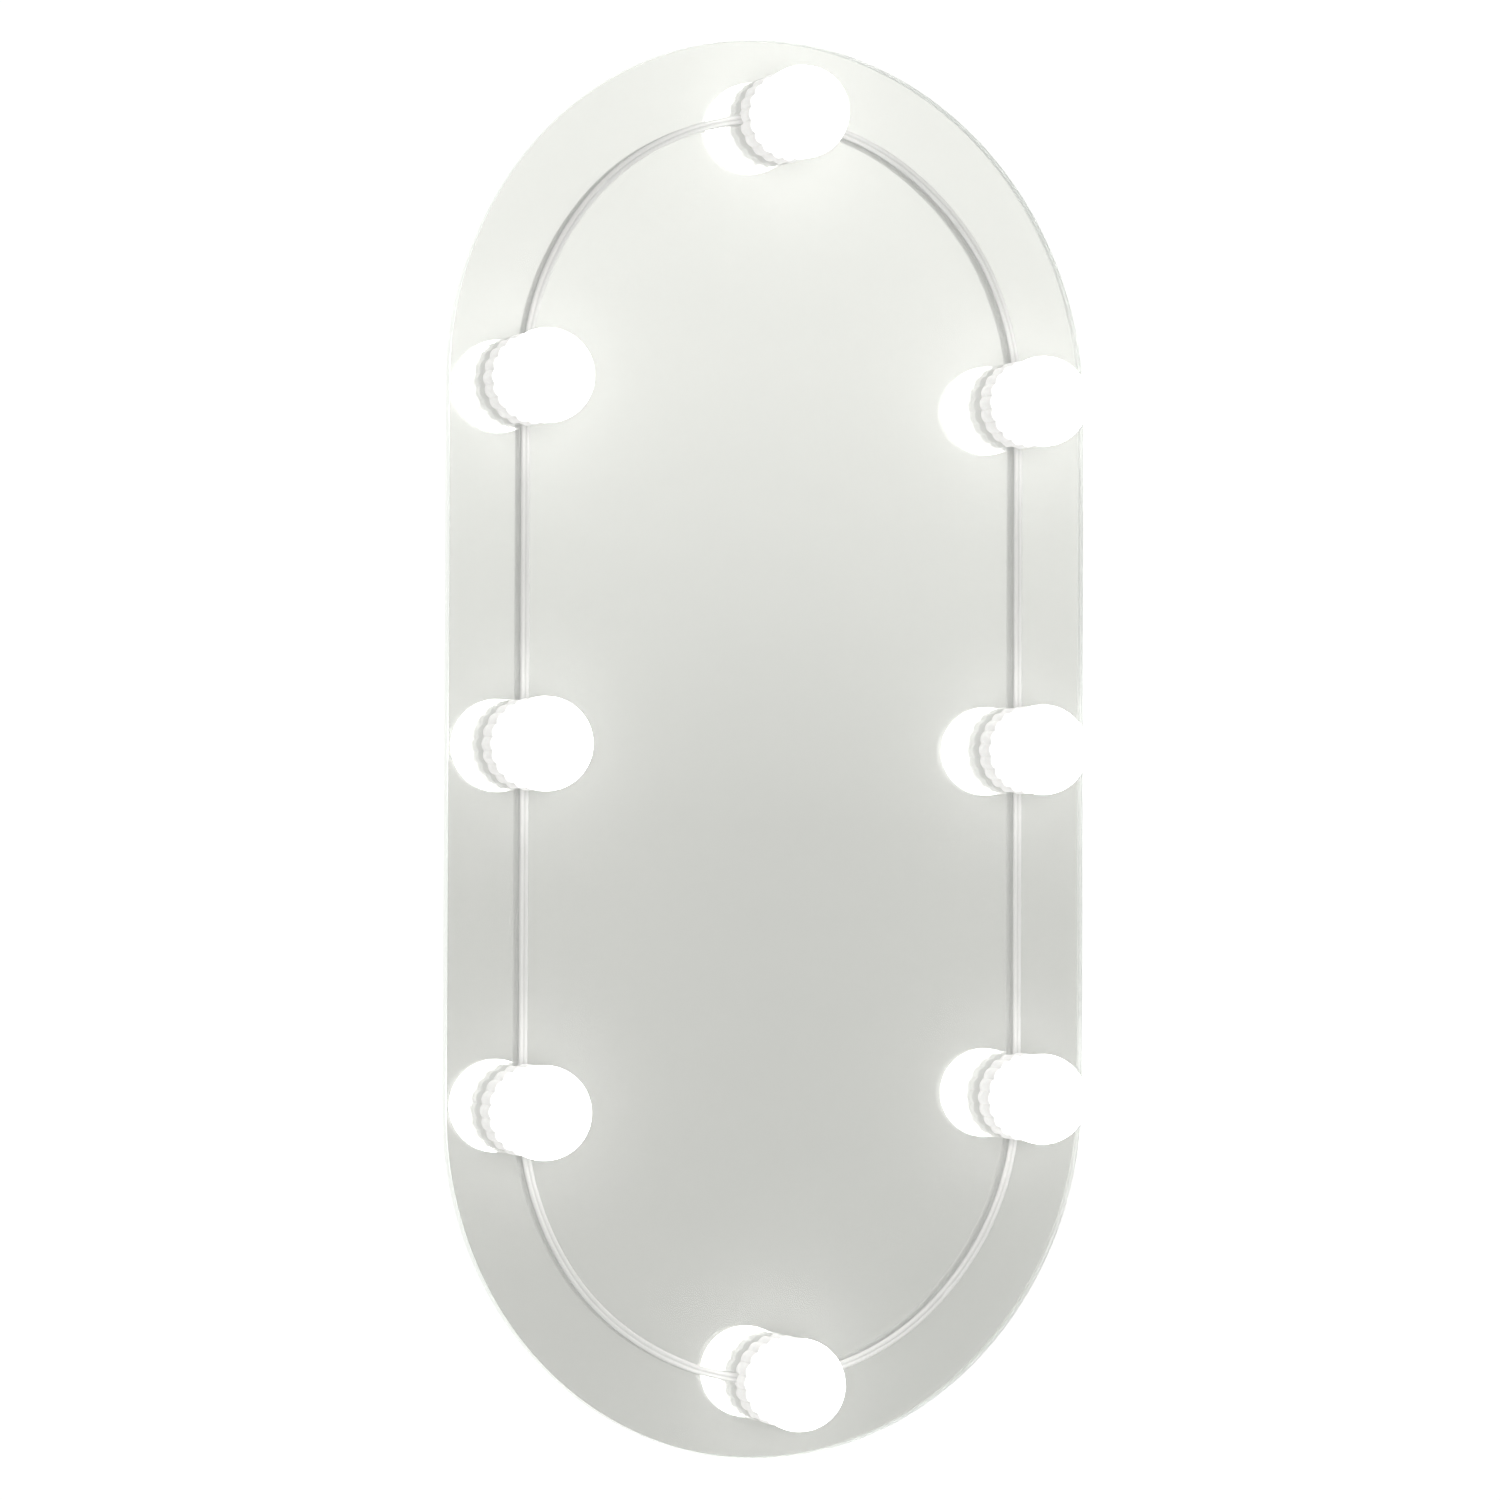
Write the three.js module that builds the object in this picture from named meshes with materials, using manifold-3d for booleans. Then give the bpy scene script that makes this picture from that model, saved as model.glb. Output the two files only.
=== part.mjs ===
// A frameless obround wall mirror with eight globe lamps round its edge, joined by one loop of flat
// twin lead. Millimetres. It is drawn lying on its back, as on a bench: x to the right, y up the wall
// and z out of the wall, with z = 0 at the wall. The outer group then stands it up, so that in the
// exported frame +Z is up, the glass faces -Y and the origin is on the wall behind the mirror's centre.
import * as THREE from "three";
import { mergeVertices } from "three/addons/utils/BufferGeometryUtils.js";
import Module from "manifold-3d";

// The plate. Its round ends are centred at y = +-TURN_Y.
const WIDTH = 400;
const HEIGHT = 800;
const END_RADIUS = WIDTH / 2;
const TURN_Y = HEIGHT / 2 - END_RADIUS;
const GAP = 0.2; // between pieces that are bonded or rest on each other
const WALL_GAP = 12;
const BACKING_THICKNESS = 0.6;
const GLASS_THICKNESS = 5;
const GLASS_ARRIS = 0.6;
const GLASS_BACK = WALL_GAP + BACKING_THICKNESS + GAP;
const GLASS_FRONT = GLASS_BACK + GLASS_THICKNESS;

// The lamps stand on a loop that runs at one distance inside the plate's edge.
const LAMP_INSET = 45;
const LOOP_RADIUS = END_RADIUS - LAMP_INSET;

// One lamp. Heights are above the glass, along the lamp's own axis.
const PAD = { inner: 5.5, outer: 17, top: 1.1 };
const RIB = { count: 20, crest: 25.2, valley: 23.9 };
const BASE = { foot: 0.4, top: 3.8, underside: 1.3, floor: 2.3, hole: 4, hub: 10, hubTop: 6.8 };
const SPIGOT = { inner: 20.6, outer: 22, top: 9.1 };
const COLLAR = { foot: 4.1, bore: 22.7, ledgeFoot: 9.5, ledge: 20.3, ledgeTop: 10.5, mouth: 22.5, top: 13.2 };
const LUG = { count: 3, inner: 21, foot: 6.9, top: 8.1, spread: 20 };
const SLOT = { foot: 6.5, top: 8.5, ease: 1.5 };
const UNLOCK_TURN = 36; // degrees from locked to free
const BOARD = { radius: 18.5, foot: 7, top: 8.4 };
const CHIP = { count: 4, ring: 10, size: 4, height: 0.8 };
const GLOBE = { radius: 26, centre: 30.5, wall: 1.5, neck: 22.2, rim: 10.8 };

// The flat twin lead that joins the lamps, stuck to the glass.
const LEAD = { width: 5, thickness: 2.5, chamfer: 0.8, lift: 0.05, end: 18.6, clearance: 0.4 };
const LEAD_HEIGHT = GLASS_FRONT + LEAD.lift + LEAD.thickness / 2;
const LEAD_TURN_STEPS = 10;

// What is on the back.
const HANGER = { x: 95, y: 250, flange: 33, hat: 18, brow: 15, length: 60, sheet: 1.2, foot: 10.6 };
const KEYHOLE = { radius: 5, slot: 2.6, drop: -9, rise: 12 };
const BUMPER = { x: 118, y: -175, wallRadius: 8, foot: 10 };
const INLET = { y: -345, width: 64, height: 40, back: 1.6, wall: 1.6, corner: 5 };
const SOCKET = { x: -16, axis: 7.3, nose: 3.9, bore: 3.05, depth: 10, pin: 1, pinRecess: 4.6 };
const SOCKET_BODY = { width: 9, back: 3.5, front: 11.2, length: 11 };
const FEED = { radius: 1.4, hole: 4.6, grommet: 4.2, flange: 6.5, flangeThickness: 1, bore: 1.8, top: 6.4 };

const FINE = 16; // sides of the lamp's round parts
const COARSE = 12;
const degrees = THREE.MathUtils.degToRad;

const wasm = await Module();
wasm.setup();

// ---- Solids: three.js makes each shape, and manifold-3d joins and cuts them.

// A closed geometry as a solid, with its shared vertices merged and its faces pointing out.
function solidOf(geometry) {
  const bare = geometry.clone();
  bare.deleteAttribute("normal");
  bare.deleteAttribute("uv");
  const merged = mergeVertices(bare, 1e-4);
  const corners = merged.index.array;
  const faces = [];
  for (let i = 0; i < corners.length; i += 3) {
    const [a, b, c] = corners.subarray(i, i + 3);
    if (a !== b && b !== c && c !== a) faces.push([a, b, c]);
  }
  const vertProperties = merged.attributes.position.array;
  const build = (list) =>
    new wasm.Manifold(new wasm.Mesh({ numProp: 3, vertProperties, triVerts: new Uint32Array(list.flat()) }));
  const made = build(faces);
  return made.volume() > 0 ? made : build(faces.map(([a, b, c]) => [a, c, b]));
}

function geometryOf(solid) {
  const mesh = solid.getMesh();
  const points = new Float32Array(mesh.numVert * 3);
  for (let i = 0; i < mesh.numVert; i++) {
    const at = i * mesh.numProp;
    points.set(mesh.vertProperties.subarray(at, at + 3), i * 3);
  }
  const geometry = new THREE.BufferGeometry();
  geometry.setAttribute("position", new THREE.BufferAttribute(points, 3));
  geometry.setIndex(new THREE.BufferAttribute(new Uint32Array(mesh.triVerts), 1));
  geometry.computeVertexNormals();
  return geometry;
}

// A profile of [radius, height] points turned about the z axis.
function turned(profile, sides) {
  const points = profile.map(([radius, height]) => new THREE.Vector2(radius, height));
  return solidOf(new THREE.LatheGeometry(points, sides).rotateX(Math.PI / 2));
}

const cylinder = (radius, foot, top, sides) =>
  turned([[0, foot], [radius, foot], [radius, top], [0, top]], sides);

const ring = (inner, outer, foot, top, sides) =>
  turned([[inner, foot], [outer, foot], [outer, top], [inner, top], [inner, foot]], sides);

const outlineOf = (points) => new THREE.Shape(points.map(([x, y]) => new THREE.Vector2(x, y)));

// A flat shape given thickness between two heights.
function prism(shape, foot, top, curveSegments = 3) {
  const flat = { depth: top - foot, bevelEnabled: false, curveSegments };
  return solidOf(new THREE.ExtrudeGeometry(shape, flat).translate(0, 0, foot));
}

// A block that curves about the z axis, from one angle in degrees to another.
function curvedBlock(inner, outer, from, to, foot, top) {
  const shape = new THREE.Shape();
  shape.absarc(0, 0, outer, degrees(from), degrees(to), false);
  shape.absarc(0, 0, inner, degrees(to), degrees(from), true);
  return prism(shape, foot, top, 2);
}

function roundedRectangle(width, height, corner) {
  const x = width / 2 - corner;
  const y = height / 2 - corner;
  const shape = new THREE.Shape();
  shape.absarc(x, y, corner, 0, Math.PI / 2, false);
  shape.absarc(-x, y, corner, Math.PI / 2, Math.PI, false);
  shape.absarc(-x, -y, corner, Math.PI, 1.5 * Math.PI, false);
  shape.absarc(x, -y, corner, 1.5 * Math.PI, 2 * Math.PI, false);
  return shape;
}

// ---- Materials.

const material = (color, roughness, metalness = 0, more = {}) =>
  new THREE.MeshStandardMaterial({ color, roughness, metalness, ...more });

const clearGlass = material(0xe9f1ee, 0.02, 0, { transparent: true, opacity: 0.35 });
const silverBack = material(0xdfe2de, 0.05, 1);
const whitePlastic = material(0xf3f3f1, 0.35);
const opalPlastic = material(0xffffff, 0.25, 0, { emissive: 0xfffaf0 });
const boardWhite = material(0xf4f4ee, 0.4);
const foam = material(0xd8d8d4, 0.9);
const leadWhite = material(0xececea, 0.4);
const greyRubber = material(0x8c9092, 0.75);
const zincSteel = material(0xb9bcbe, 0.35, 1);
const blackPlastic = material(0x1c1c1e, 0.4);

const mirror = new THREE.Group();
mirror.rotation.x = Math.PI / 2;

function add(name, solid, look, parent = mirror) {
  const mesh = new THREE.Mesh(geometryOf(solid), look);
  mesh.name = name;
  parent.add(mesh);
}

// ---- The plate: the glass, and the silvering with its paint and safety film as one skin behind it.

const FEED_Y = -TURN_Y - LOOP_RADIUS;
const PLATE_CURVE = 12;

function plateShape() {
  const shape = new THREE.Shape();
  shape.absarc(0, TURN_Y, END_RADIUS, 0, Math.PI, false);
  shape.absarc(0, -TURN_Y, END_RADIUS, Math.PI, 2 * Math.PI, false);
  const hole = new THREE.Path();
  hole.absarc(0, FEED_Y, FEED.hole, 0, 2 * Math.PI, true);
  shape.holes.push(hole);
  return shape;
}

function glassPlate() {
  const geometry = new THREE.ExtrudeGeometry(plateShape(), {
    depth: GLASS_THICKNESS - 2 * GLASS_ARRIS,
    curveSegments: PLATE_CURVE,
    bevelThickness: GLASS_ARRIS,
    bevelSize: GLASS_ARRIS,
    bevelOffset: -GLASS_ARRIS,
    bevelSegments: 1,
  });
  return solidOf(geometry.translate(0, 0, GLASS_BACK + GLASS_ARRIS));
}

add("mirror_glass", glassPlate(), clearGlass);
add("silver_backing", prism(plateShape(), WALL_GAP, GLASS_BACK - GAP, PLATE_CURVE), silverBack);

// ---- The lead loop. Lamps are numbered clockwise from the top, as seen from the front.

const lamps = [
  [0, TURN_Y + LOOP_RADIUS],
  [LOOP_RADIUS, TURN_Y],
  [LOOP_RADIUS, 0],
  [LOOP_RADIUS, -TURN_Y],
  [0, -TURN_Y - LOOP_RADIUS],
  [-LOOP_RADIUS, -TURN_Y],
  [-LOOP_RADIUS, 0],
  [-LOOP_RADIUS, TURN_Y],
];

class FlatTurn extends THREE.Curve {
  constructor(y, from, to) {
    super();
    Object.assign(this, { y, from, to });
  }

  getPoint(t, target = new THREE.Vector3()) {
    const angle = this.from + (this.to - this.from) * t;
    return target.set(LOOP_RADIUS * Math.cos(angle), this.y + LOOP_RADIUS * Math.sin(angle), LEAD_HEIGHT);
  }
}

// Each run stops LEAD.end short of the lamps' axes.
function turnRun(y, from, to) {
  const trim = Math.sign(to - from) * 2 * Math.asin(LEAD.end / 2 / LOOP_RADIUS);
  return new FlatTurn(y, degrees(from) + trim, degrees(to) - trim);
}

function straightRun(x, from, to) {
  const trim = Math.sign(to - from) * LEAD.end;
  const end = (y) => new THREE.Vector3(x, y, LEAD_HEIGHT);
  return new THREE.LineCurve3(end(from + trim), end(to - trim));
}

// leadRuns[i] goes from lamp i + 1 to the next one.
const leadRuns = [
  turnRun(TURN_Y, 90, 0),
  straightRun(LOOP_RADIUS, TURN_Y, 0),
  straightRun(LOOP_RADIUS, 0, -TURN_Y),
  turnRun(-TURN_Y, 0, -90),
  turnRun(-TURN_Y, -90, -180),
  straightRun(-LOOP_RADIUS, -TURN_Y, 0),
  straightRun(-LOOP_RADIUS, 0, TURN_Y),
  turnRun(TURN_Y, 180, 90),
];

function sweptAlong(run, outline) {
  const steps = run instanceof FlatTurn ? LEAD_TURN_STEPS : 1;
  return solidOf(new THREE.ExtrudeGeometry(outlineOf(outline), { steps, extrudePath: run }));
}

// The lead's section lies flat: its thickness along the section's x and its width along y.
function lead(run) {
  const thick = LEAD.thickness / 2;
  const wide = LEAD.width / 2;
  const half = [[thick, wide - LEAD.chamfer], [thick - LEAD.chamfer, wide]];
  half.push(...half.toReversed().map(([x, y]) => [-x, y]));
  return sweptAlong(run, [...half, ...half.map(([x, y]) => [-x, -y])]);
}

function leadNotch(run) {
  const thick = LEAD.thickness / 2 + LEAD.clearance;
  const wide = LEAD.width / 2 + LEAD.clearance;
  return sweptAlong(run, [[thick, -wide], [thick, wide], [-thick, wide], [-thick, -wide]]);
}

leadRuns.forEach((run, i) => {
  const next = ((i + 1) % lamps.length) + 1;
  add(`lead_${i + 1}_to_${next}`, lead(run), leadWhite);
});

// ---- One lamp, about its own axis, with height 0 on the glass.

function ribbedDisc() {
  const points = [];
  for (let i = 0; i < 2 * RIB.count; i++) {
    const radius = i % 2 ? RIB.valley : RIB.crest;
    const angle = (i / RIB.count) * Math.PI;
    points.push([radius * Math.cos(angle), radius * Math.sin(angle)]);
  }
  return outlineOf(points);
}

// The L-shaped slots that the collar's lugs drop into and turn along.
function bayonetSlots() {
  const half = LUG.spread / 2 + SLOT.ease;
  const [inner, outer] = [SPIGOT.inner - 1, SPIGOT.outer + 1];
  const slots = [];
  for (let i = 0; i < LUG.count; i++) {
    const locked = (i * 360) / LUG.count;
    const free = locked + UNLOCK_TURN;
    slots.push(curvedBlock(inner, outer, locked - half, free + half, SLOT.foot, SLOT.top));
    slots.push(curvedBlock(inner, outer, free - half, free + half, SLOT.foot, SPIGOT.top + 1));
  }
  return slots;
}

function lampBase(x, y, runs) {
  const { foot, top, underside, floor, hole, hub, hubTop } = BASE;
  const { inner, outer } = SPIGOT;
  let solid = prism(ribbedDisc(), foot, top);
  solid = solid.subtract(cylinder(inner, foot - 1, top + 1, FINE));
  solid = solid.add(ring(inner, outer, top - 1, SPIGOT.top, FINE));
  const spool = [[hole, underside], [inner + 0.5, underside], [inner + 0.5, floor], [hub, floor]];
  solid = solid.add(turned([...spool, [hub, hubTop], [hole, hubTop], [hole, underside]], FINE));
  for (const slot of bayonetSlots()) solid = solid.subtract(slot);
  for (const run of runs) solid = solid.subtract(leadNotch(run).translate([-x, -y, -GLASS_FRONT]));
  return solid;
}

function ledBoard() {
  let solid = cylinder(BOARD.radius, BOARD.foot, BOARD.top, COARSE);
  for (let i = 0; i < CHIP.count; i++) {
    const chip = new THREE.BoxGeometry(CHIP.size, CHIP.size, CHIP.height + 0.2);
    chip.translate(CHIP.ring, 0, BOARD.top + CHIP.height / 2 - 0.1);
    solid = solid.add(solidOf(chip.rotateZ((i * 2 * Math.PI) / CHIP.count)));
  }
  return solid;
}

function twistCollar() {
  const { foot, bore, ledgeFoot, ledge, ledgeTop, mouth, top } = COLLAR;
  const inside = [[0, foot - 1], [bore, foot - 1], [bore, ledgeFoot], [ledge, ledgeFoot], [ledge, ledgeTop]];
  inside.push([mouth, ledgeTop], [mouth, top + 1], [0, top + 1]);
  let solid = prism(ribbedDisc(), foot, top).subtract(turned(inside, FINE));
  for (let i = 0; i < LUG.count; i++) {
    const at = (i * 360) / LUG.count;
    const ends = [at - LUG.spread / 2, at + LUG.spread / 2];
    solid = solid.add(curvedBlock(LUG.inner, bore + 0.5, ...ends, LUG.foot, LUG.top));
  }
  return solid;
}

// Points round a sphere's section, from the height where it has the neck's radius up to its pole.
function globeArc(radius, neck, steps) {
  const widest = Math.PI - Math.asin(neck / radius);
  const arc = [];
  for (let i = 0; i <= steps; i++) {
    const fromPole = widest * (1 - i / steps);
    arc.push([i === steps ? 0 : radius * Math.sin(fromPole), GLOBE.centre + radius * Math.cos(fromPole)]);
  }
  return arc;
}

function globe() {
  const neckInside = GLOBE.neck - GLOBE.wall;
  const inside = globeArc(GLOBE.radius - GLOBE.wall, neckInside, 3).reverse();
  const outside = globeArc(GLOBE.radius, GLOBE.neck, 6);
  return turned([...inside, [neckInside, GLOBE.rim], [GLOBE.neck, GLOBE.rim], ...outside], FINE);
}

lamps.forEach(([x, y], i) => {
  const lamp = new THREE.Group();
  lamp.position.set(x, y, GLASS_FRONT);
  mirror.add(lamp);
  const runs = [leadRuns[i], leadRuns[(i + lamps.length - 1) % lamps.length]];
  add(`lamp_${i + 1}_pad`, ring(PAD.inner, PAD.outer, GAP, PAD.top, COARSE), foam, lamp);
  add(`lamp_${i + 1}_base`, lampBase(x, y, runs), whitePlastic, lamp);
  add(`lamp_${i + 1}_board`, ledBoard(), boardWhite, lamp);
  add(`lamp_${i + 1}_collar`, twistCollar(), whitePlastic, lamp);
  add(`lamp_${i + 1}_globe`, globe(), opalPlastic, lamp);
});

// ---- The hanging plates: a hat of bent sheet with a keyhole, bonded to the back with foam tape.

function hanger() {
  const { flange, hat, brow, sheet, foot, length } = HANGER;
  const half = [[brow - sheet, sheet], [hat - sheet, foot], [flange, foot]];
  half.push([flange, foot - sheet], [hat, foot - sheet], [brow, 0]);
  const section = outlineOf([...half, ...half.toReversed().map(([x, z]) => [-x, z])]);
  const bent = new THREE.ExtrudeGeometry(section, { depth: length, bevelEnabled: false });
  const meet = Math.acos(KEYHOLE.slot / KEYHOLE.radius);
  const keyhole = new THREE.Shape();
  keyhole.absarc(0, KEYHOLE.drop, KEYHOLE.radius, Math.PI - meet, 2 * Math.PI + meet, false);
  keyhole.absarc(0, KEYHOLE.drop + KEYHOLE.rise, KEYHOLE.slot, 0, Math.PI, false);
  const upright = bent.rotateX(Math.PI / 2).translate(0, length / 2, 0);
  return solidOf(upright).subtract(prism(keyhole, -1, sheet + 1, 6));
}

for (const [side, sign] of [["left", -1], ["right", 1]]) {
  const group = new THREE.Group();
  group.position.set(sign * HANGER.x, HANGER.y, 0);
  mirror.add(group);
  const tape = new THREE.BoxGeometry(2 * HANGER.flange, HANGER.length, WALL_GAP - HANGER.foot - 2 * GAP);
  tape.translate(0, 0, (HANGER.foot + WALL_GAP) / 2);
  add(`hanger_${side}`, hanger(), zincSteel, group);
  add(`hanger_tape_${side}`, solidOf(tape), foam, group);
  const profile = [[0, 0], [BUMPER.wallRadius, 0], [BUMPER.foot, WALL_GAP - GAP], [0, WALL_GAP - GAP]];
  const bumper = turned(profile, COARSE).translate([sign * BUMPER.x, BUMPER.y, 0]);
  add(`bumper_${side}`, bumper, greyRubber);
}

// ---- The power inlet on the back, over the feed hole behind the bottom lamp.

const inlet = new THREE.Group();
inlet.position.y = INLET.y;
mirror.add(inlet);

// A round solid that points up the wall from the inlet's lower edge, on the socket's axis.
const upFromEdge = (solid) => solid.rotate([-90, 0, 0]).translate([SOCKET.x, -INLET.height / 2, SOCKET.axis]);

function inletCover() {
  const { width, height, back, wall, corner } = INLET;
  const box = prism(roundedRectangle(width, height, corner), back, WALL_GAP - GAP);
  const inside = roundedRectangle(width - 2 * wall, height - 2 * wall, corner - wall);
  const mouth = cylinder(SOCKET.nose + 0.3, -1, 2 * wall, COARSE);
  return box.subtract(prism(inside, back + wall, WALL_GAP + 1)).subtract(upFromEdge(mouth));
}

// A barrel socket: a block with a round nose in the cover's wall, a blind bore and a pin in it.
function dcSocket() {
  const { width, back, front, length } = SOCKET_BODY;
  const start = INLET.wall + 0.3;
  const block = new THREE.BoxGeometry(width, length, front - back);
  block.translate(SOCKET.x, -INLET.height / 2 + start + length / 2, (front + back) / 2);
  return solidOf(block)
    .add(upFromEdge(cylinder(SOCKET.nose, 0, start + 1, COARSE)))
    .subtract(upFromEdge(cylinder(SOCKET.bore, -1, SOCKET.depth, 16)))
    .add(upFromEdge(cylinder(SOCKET.pin, SOCKET.pinRecess, SOCKET.depth + 1, 8)));
}

// The feed lead loops from the socket's back to the feed hole, and up through the plate.
function feedLead() {
  const start = -INLET.height / 2 + INLET.wall + SOCKET_BODY.length + 0.6;
  const hole = FEED_Y - INLET.y;
  const route = [
    [SOCKET.x, start, SOCKET.axis],
    [SOCKET.x, start + 8, SOCKET.axis],
    [SOCKET.x / 2, start + 15, SOCKET.axis],
    [0, start + 9, SOCKET.axis],
    [0, hole + 4, SOCKET.axis],
    [0, hole, SOCKET.axis + 3.5],
    [0, hole, GLASS_BACK],
    [0, hole, GLASS_FRONT + FEED.top],
  ];
  const path = new THREE.CatmullRomCurve3(route.map((point) => new THREE.Vector3(...point)), false, "centripetal");
  const section = new THREE.Shape().absarc(0, 0, FEED.radius, 0, 2 * Math.PI, false);
  return solidOf(new THREE.ExtrudeGeometry(section, { steps: 16, curveSegments: 4, extrudePath: path }));
}

// A rubber bush with its flange on the back and its sleeve through the plate.
function feedGrommet() {
  const { bore, grommet, flange, flangeThickness } = FEED;
  const foot = WALL_GAP - GAP - flangeThickness;
  const profile = [[bore, foot], [flange, foot], [flange, WALL_GAP - GAP], [grommet, WALL_GAP - GAP]];
  profile.push([grommet, GLASS_FRONT], [bore, GLASS_FRONT], [bore, foot]);
  return turned(profile, COARSE).translate([0, FEED_Y, 0]);
}

add("inlet_cover", inletCover(), whitePlastic, inlet);
add("dc_socket", dcSocket(), blackPlastic, inlet);
add("feed_lead", feedLead(), leadWhite, inlet);
add("feed_grommet", feedGrommet(), blackPlastic);

export default mirror;
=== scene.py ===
import math

import bmesh
import bpy
from mathutils import Matrix, Vector


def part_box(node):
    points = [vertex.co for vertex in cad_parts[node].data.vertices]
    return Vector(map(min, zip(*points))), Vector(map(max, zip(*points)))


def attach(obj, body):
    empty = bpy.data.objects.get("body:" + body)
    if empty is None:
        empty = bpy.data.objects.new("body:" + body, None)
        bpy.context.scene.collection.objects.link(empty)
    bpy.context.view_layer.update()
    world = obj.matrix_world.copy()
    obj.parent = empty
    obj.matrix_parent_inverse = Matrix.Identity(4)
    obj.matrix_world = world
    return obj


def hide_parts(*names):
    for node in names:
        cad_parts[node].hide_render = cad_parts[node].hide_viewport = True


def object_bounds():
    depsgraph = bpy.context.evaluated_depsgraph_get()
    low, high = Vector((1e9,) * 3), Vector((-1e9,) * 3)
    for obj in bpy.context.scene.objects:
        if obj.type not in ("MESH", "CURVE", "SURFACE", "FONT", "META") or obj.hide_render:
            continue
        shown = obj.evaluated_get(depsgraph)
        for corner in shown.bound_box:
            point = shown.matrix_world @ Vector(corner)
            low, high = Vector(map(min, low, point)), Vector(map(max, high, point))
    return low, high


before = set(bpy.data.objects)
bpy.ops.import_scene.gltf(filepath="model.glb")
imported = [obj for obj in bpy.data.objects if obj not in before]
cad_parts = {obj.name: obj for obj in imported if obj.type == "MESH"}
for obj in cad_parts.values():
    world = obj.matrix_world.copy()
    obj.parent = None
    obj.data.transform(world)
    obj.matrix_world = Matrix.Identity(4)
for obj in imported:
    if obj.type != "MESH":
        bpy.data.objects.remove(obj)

cad_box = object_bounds()

MM = 0.001
LAMPS = 8


def stand(point):
    x, y, z = point
    return Vector((x * MM, -z * MM, y * MM))


def bench_box(node):
    """Lowest and highest corner of a CAD node on the bench, in millimetres."""
    low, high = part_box(node)
    return Vector((low.x, low.z, -high.y)) / MM, Vector((high.x, high.z, -low.y)) / MM


# ---- Sizes from the frame.

glass_low, glass_high = bench_box("mirror_glass")
END_RADIUS = glass_high.x
TURN_Y = glass_high.y - END_RADIUS
GLASS_BACK = glass_low.z
GLASS_FRONT = glass_high.z


def lamp_centre(n):
    low, high = bench_box(f"lamp_{n}_globe")
    return (low.x + high.x) / 2, (low.y + high.y) / 2


def heights(node):
    """A lamp piece's lowest and highest level above the glass."""
    low, high = bench_box(node)
    return low.z - GLASS_FRONT, high.z - GLASS_FRONT


centres = [lamp_centre(n) for n in range(1, LAMPS + 1)]
LOOP_RADIUS = centres[1][0]
PAD_FOOT, PAD_TOP = heights("lamp_1_pad")
BASE_FOOT, SPIGOT_TOP = heights("lamp_1_base")
BOARD_FOOT, CHIP_TOP = heights("lamp_1_board")
COLLAR_FOOT, COLLAR_TOP = heights("lamp_1_collar")
GLOBE_RIM, GLOBE_TOP = heights("lamp_1_globe")
RIB_CREST = (bench_box("lamp_3_collar")[1].x - bench_box("lamp_3_collar")[0].x) / 2
LEAD_FOOT, LEAD_TOP = heights("lead_2_to_3")
LEAD_WIDTH = bench_box("lead_2_to_3")[1].x - bench_box("lead_2_to_3")[0].x
LEAD_END = bench_box("lead_2_to_3")[0].y - centres[2][1]  # from a lamp's axis to the end of its lead

# ---- Sizes inside the lamps, in millimetres. Heights are above the glass.

RIBS = 20
RIB_DEPTH = 1.3
RIM_TOP = COLLAR_FOOT - 0.3
SPIGOT_INNER = 20.6
SPIGOT_OUTER = 22.0
COLLAR_BORE = 22.7
MOUTH_RADIUS = 22.5
LEDGE = {"inner": 20.3, "foot": 9.5, "top": 10.5}  # inside the collar, under the globe
LUG = {"inner": 21.0, "foot": 6.9, "top": 8.1, "spread": 20}  # spread in degrees
SLOT = {"foot": 6.5, "top": 8.5, "ease": 1.5}  # ease in degrees, at each end of a lug
LUG_TURNS = (0, 120, 240)  # where the lugs lie when locked, in degrees
TURN = 36  # degrees from locked to open
GLOBE_RADIUS = (bench_box("lamp_3_globe")[1].x - bench_box("lamp_3_globe")[0].x) / 2
GLOBE_CENTRE = GLOBE_TOP - GLOBE_RADIUS
GLOBE_WALL = 1.5
NECK = 22.2

# ---- Mesh building.

SHARP_ANGLE = 35  # degrees between two faces, past which their edge stays sharp
CORNER_SHARE = 0.49  # the most of a side that one rounded corner takes
TINY = 1e-6  # millimetres; anything less counts as nothing


def shade(mesh, sharp_angle=SHARP_ANGLE):
    """Smooth shading that keeps the sharper edges crisp."""
    mesh.shade_smooth()
    mesh.set_sharp_from_angle(angle=math.radians(sharp_angle))


def new_object(name, bm, looks=(), sharp_angle=SHARP_ANGLE):
    bmesh.ops.recalc_face_normals(bm, faces=bm.faces)
    mesh = bpy.data.meshes.new(name)
    bm.to_mesh(mesh)
    bm.free()
    shade(mesh, sharp_angle)
    for look in looks:
        mesh.materials.append(look)
    made = bpy.data.objects.new(name, mesh)
    bpy.context.scene.collection.objects.link(made)
    return made


def rib_dip(angle):
    """How far the ribbed outline dips below its crests: round lobes that meet in sharp valleys."""
    return RIB_DEPTH * (1 - abs(math.cos(RIBS * angle / 2)))


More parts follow.
